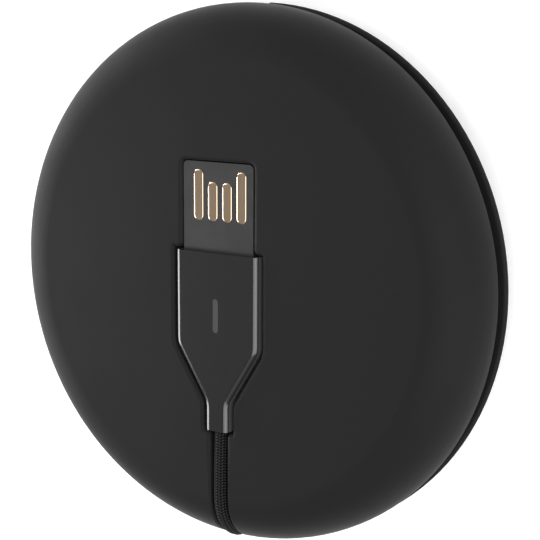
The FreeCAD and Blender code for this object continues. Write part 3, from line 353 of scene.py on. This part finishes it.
# finishes by slot: rough is for the effect's low and high end, bump is strength and depth in mm,
# and fixed holds values for the shader's own sockets
finishLooks = {
    "soft_touch_shell": {
        "name": "softTouchShell", "effect": mouldedGrain, "values": {"Grain": 5200.0, "Cloud": 45.0},
        "dark": (0.0076, 0.0076, 0.0077), "light": (0.0096, 0.0096, 0.0098),
        "rough": (0.58, 0.66), "bump": (0.10, 0.03),
        "fixed": {"Specular IOR Level": 0.12, "Sheen Weight": 0.05, "Sheen Roughness": 0.35},
        "solids": ["front_shell", "rear_shell"],
    },
    "winding_plate": {
        "name": "windingPlate", "effect": mouldedGrain, "values": {"Grain": 2600.0, "Cloud": 80.0},
        "dark": (0.012, 0.012, 0.012), "light": (0.018, 0.018, 0.018),
        "rough": (0.5, 0.65), "bump": (0.2, 0.05),
        "solids": ["front_plate", "rear_plate"],
    },
    "plug_metal": {
        "name": "plugSatin", "effect": drawnLines, "values": {"Stretch": (9000.0, 260.0, 9000.0)},
        "dark": (0.066, 0.066, 0.067), "light": (0.070, 0.070, 0.071),
        "rough": (0.17, 0.20), "bump": (0.004, 0.02),
        "faces": {
            "middle": 9.425,    # mm, height halfway between the plug's face and the connector's
            "matteSide": 8.43,  # mm from that middle, where the matte side ends
            "satinFace": 8.83,  # mm from that middle, where the satin face begins
            "metal": 0.93,      # how metallic the satin face is, from 0 to 1
        },
        "solids": ["plug_shell", "connector_shell"],
    },
    "tongue_plastic": {
        "name": "tonguePlastic", "effect": mouldedGrain, "values": {"Grain": 7000.0, "Cloud": 300.0},
        "dark": (0.0182, 0.0182, 0.0187), "light": (0.0222, 0.0222, 0.0227),
        "rough": (0.36, 0.48), "bump": (0.08, 0.02),
        "fixed": {"Specular IOR Level": 0.35},
        "solids": ["plug_tongue", "connector_core"],
    },
    "contact_metal": {
        "name": "contactGold", "effect": drawnLines, "values": {"Stretch": (16000.0, 900.0, 16000.0)},
        "dark": (0.69, 0.52, 0.36), "light": (0.77, 0.585, 0.41),
        "rough": (0.10, 0.15), "bump": (0.02, 0.01),
        "fixed": {"Metallic": 1.0},
        "solids": [f"{row}_{wire}_contact" for row in ("upper", "lower") for wire in wireNames]
        + ["connector_upper_contacts", "connector_lower_contacts"],
    },
    "screw_steel": {
        "name": "screwSteel", "effect": drawnLines, "values": {"Stretch": (3000.0, 3000.0, 400.0)},
        "dark": (0.40, 0.41, 0.42), "light": (0.56, 0.57, 0.58),
        "rough": (0.25, 0.4), "bump": (0.1, 0.02),
        "fixed": {"Metallic": 1.0},
        "solids": ["hub_screws"],
    },
    "tip_steel": {
        "name": "tipSteel", "effect": drawnLines, "values": {"Stretch": (5000.0, 300.0, 5000.0)},
        "dark": (0.50, 0.51, 0.53), "light": (0.64, 0.65, 0.67),
        "rough": (0.18, 0.30), "bump": (0.06, 0.02),
        "fixed": {"Metallic": 1.0},
        "solids": ["connector_tip"],
    },
    "ferrule_metal": {
        "name": "ferruleMetal", "effect": drawnLines, "values": {"Stretch": (4000.0, 4000.0, 500.0)},
        "dark": (0.35, 0.34, 0.32), "light": (0.50, 0.49, 0.46),
        "rough": (0.3, 0.45), "bump": (0.08, 0.02),
        "fixed": {"Metallic": 1.0},
        "solids": ["plug_ferrule", "connector_ferrule"],
    },
    "circuit_board": {
        "name": "circuitBoard", "effect": mouldedGrain, "values": {"Grain": 4000.0, "Cloud": 700.0},
        "dark": (0.010, 0.075, 0.030), "light": (0.016, 0.110, 0.045),
        "rough": (0.3, 0.45), "bump": (0.15, 0.03),
        "solids": ["plug_board", "connector_board"],
    },
    "led_body": {
        "name": "ledBody", "effect": mouldedGrain, "values": {"Grain": 5000.0, "Cloud": 900.0},
        "dark": (0.62, 0.58, 0.40), "light": (0.74, 0.70, 0.50),
        "rough": (0.35, 0.5), "bump": (0.1, 0.02),
        "solids": ["indicator_led"],
    },
    "lens_plastic": {
        "name": "lensPlastic", "effect": mouldedGrain, "values": {"Grain": 9000.0, "Cloud": 900.0},
        "dark": (0.022, 0.023, 0.024), "light": (0.030, 0.031, 0.033),
        "rough": (0.35, 0.5), "bump": (0.12, 0.01),
        "fixed": {"Specular IOR Level": 0.5},
        "solids": ["indicator_lens"],
    },
    "holder_plastic": {
        "name": "holderPlastic", "effect": mouldedGrain, "values": {"Grain": 3000.0, "Cloud": 300.0},
        "dark": (0.020, 0.020, 0.021), "light": (0.030, 0.030, 0.031),
        "rough": (0.45, 0.6), "bump": (0.15, 0.04),
        "solids": ["plug_insert", "connector_insert"],
    },
    "braid": {
        "name": "braidYarn", "effect": braidStitch,
        "values": {"Columns": 14.0, "Stitches": 16.0, "Lean": 0.8},
        # the dark end is painted shade in the grooves between stitches, the light end the yarn on the crowns
        "dark": (0.0008, 0.0008, 0.0009), "light": (0.034, 0.034, 0.035),
        "rough": (0.8, 0.6), "bump": (0.9, 0.10),
        "fixed": {"Specular IOR Level": 0.12},
        "solids": ["cable_lead", "cable_coil", "cable_middle", "cable_tail"],
    },
}
wireTones = {  # dark and light, in the order of wireNames
    "red": ((0.42, 0.02, 0.015), (0.55, 0.03, 0.02)),
    "white": ((0.60, 0.60, 0.57), (0.72, 0.72, 0.69)),
    "green": ((0.02, 0.25, 0.05), (0.03, 0.34, 0.07)),
    "black": ((0.012, 0.012, 0.012), (0.022, 0.022, 0.022)),
}
for wire, (colour, (dark, light)) in zip(wireNames, wireTones.items()):
    finishLooks[f"{colour}_wire"] = {
        "name": f"{colour}Wire", "effect": mouldedGrain, "values": {"Grain": 4000.0, "Cloud": 600.0},
        "dark": dark, "light": light, "rough": (0.35, 0.5), "bump": (0.1, 0.02),
        "solids": [f"plug_{wire}_wire", f"connector_{wire}_wire"],
    }


def satinFaces(tree, look):  # metal on the outer faces of plug and connector, matte on their sides
    place = addNode(tree, "ShaderNodeTexCoord", (-1300, -550))
    parts = addNode(tree, "ShaderNodeSeparateXYZ", (-1100, -550))
    offset = addNode(tree, "ShaderNodeMath", (-900, -550), operation="SUBTRACT")
    offset.inputs[1].default_value = look["middle"] * mm
    rise = addNode(tree, "ShaderNodeMath", (-700, -550), operation="ABSOLUTE")
    metal = addNode(tree, "ShaderNodeMapRange", (-500, -550), {
        "From Min": look["matteSide"] * mm, "From Max": look["satinFace"] * mm, "To Max": look["metal"]})
    link = tree.links.new
    link(place.outputs["Object"], parts.inputs[0])
    link(parts.outputs["Z"], offset.inputs[0])
    link(offset.outputs[0], rise.inputs[0])
    link(rise.outputs[0], metal.inputs["Value"])
    link(metal.outputs["Result"], tree.nodes["Principled BSDF"].inputs["Metallic"])


def makeFinish(look):
    material = bpy.data.materials.new(look["name"])
    material.use_nodes = True
    tree = material.node_tree
    bsdf = tree.nodes["Principled BSDF"]
    effect = addNode(tree, "ShaderNodeGroup", (-900, 100), node_tree=look["effect"], inputs=look["values"])
    tint = addNode(tree, "ShaderNodeMix", (-500, 300), data_type="RGBA")
    tint.inputs["A"].default_value = (*look["dark"], 1)
    tint.inputs["B"].default_value = (*look["light"], 1)
    lowEnd, highEnd = look["rough"]
    gloss = addNode(tree, "ShaderNodeMapRange", (-500, 0), {"To Min": lowEnd, "To Max": highEnd})
    strength, depth = look["bump"]
    relief = addNode(tree, "ShaderNodeBump", (-500, -300), {"Strength": strength, "Distance": depth * mm})
    link = tree.links.new
    link(effect.outputs["Tone"], tint.inputs["Factor"])
    link(effect.outputs["Smudge" if "Smudge" in effect.outputs else "Tone"], gloss.inputs["Value"])
    link(effect.outputs["Height"], relief.inputs["Height"])
    link(tint.outputs["Result"], bsdf.inputs["Base Color"])
    link(gloss.outputs["Result"], bsdf.inputs["Roughness"])
    link(relief.outputs["Normal"], bsdf.inputs["Normal"])
    for socket, value in look.get("fixed", {}).items():
        bsdf.inputs[socket].default_value = value
    if "faces" in look:
        satinFaces(tree, look["faces"])
    return material


def dress(piece, material):
    piece.data.materials.clear()
    piece.data.materials.append(material)


finishes = {slot: makeFinish(look) for slot, look in finishLooks.items()}
for slot, look in finishLooks.items():
    for name in look["solids"]:
        for holder in nodes[name].material_slots:
            holder.material = finishes[slot]
dress(braidedCable, finishes["braid"])
for pad in contactPads:
    dress(pad, finishes["contact_metal"])
print("finishes on:", sum(len(look["solids"]) for look in finishLooks.values()), "solids")


# floor and studio light
studio = {
    "floor": {"half": 2.5, "cells": 8, "drop": 0.0002},  # m, apart from the cells
    "paint": {
        "name": "floorPaint", "effect": mouldedGrain, "values": {"Grain": 900.0, "Cloud": 3.0},
        "dark": (0.93, 0.93, 0.93), "light": (0.98, 0.98, 0.98),
        "rough": (0.75, 0.9), "bump": (0.02, 0.05),
        "fixed": {"Emission Color": (1, 1, 1, 1), "Emission Strength": 0.22},  # lifts the shadow on the floor
    },
    "air": 0.32,           # strength of the white surround
    "aim": (0, 0, 0.012),  # m, where the lights point
    "lights": {            # m and W
        "overhead": {"spot": (0.45, -0.20, 1.0), "size": (1.1, 0.8), "power": 7.0},
        "rightBox": {"spot": (1.0, -0.20, 0.60), "size": (1.3, 0.80), "power": 9.3},
        "leftStrip": {"spot": (-0.72, -0.19, 0.32), "size": (0.24, 0.54), "power": 3.8},
        "rearFill": {"spot": (0.3, 0.95, 0.6), "size": (1.0, 0.5), "power": 3.5},
        "frontFill": {"spot": (0.2, -1.0, 0.9), "size": (0.9, 0.6), "power": 0.7},
        "rearLeft": {"spot": (-0.55, 0.45, 0.78), "size": (0.7, 0.35), "power": 2.3},
        "leftLow": {"spot": (-1.0, 0.30, 0.12), "size": (0.6, 0.14), "power": 4.0},
    },
}


def makeFloor(look, paint):
    sheet = bmesh.new()
    bmesh.ops.create_grid(sheet, x_segments=look["cells"], y_segments=look["cells"], size=look["half"])
    bmesh.ops.translate(sheet, verts=sheet.verts, vec=(0, 0, -look["drop"]))
    mesh = bpy.data.meshes.new("studioFloor")
    sheet.to_mesh(mesh)
    sheet.free()
    floor = addObject("studioFloor", mesh)
    dress(floor, makeFinish(paint))


def addLight(name, look, aim):
    data = bpy.data.lights.new(name, "AREA")
    data.shape = "RECTANGLE"
    data.size, data.size_y = look["size"]
    data.energy = look["power"]
    lamp = addObject(name, data)
    lamp.location = look["spot"]
    toAim = Vector(aim) - Vector(look["spot"])
    lamp.rotation_euler = toAim.to_track_quat("-Z", "Y").to_euler()


def setAir(strength):
    world = bpy.data.worlds.new("studioAir")
    scene.world = world
    world.use_nodes = True
    background = world.node_tree.nodes["Background"]
    background.inputs["Color"].default_value = (1, 1, 1, 1)
    background.inputs["Strength"].default_value = strength


makeFloor(studio["floor"], studio["paint"])
for name, look in studio["lights"].items():
    addLight(name, look, studio["aim"])
setAir(studio["air"])
scene.view_settings.view_transform = "Standard"
print("floor and lights set")
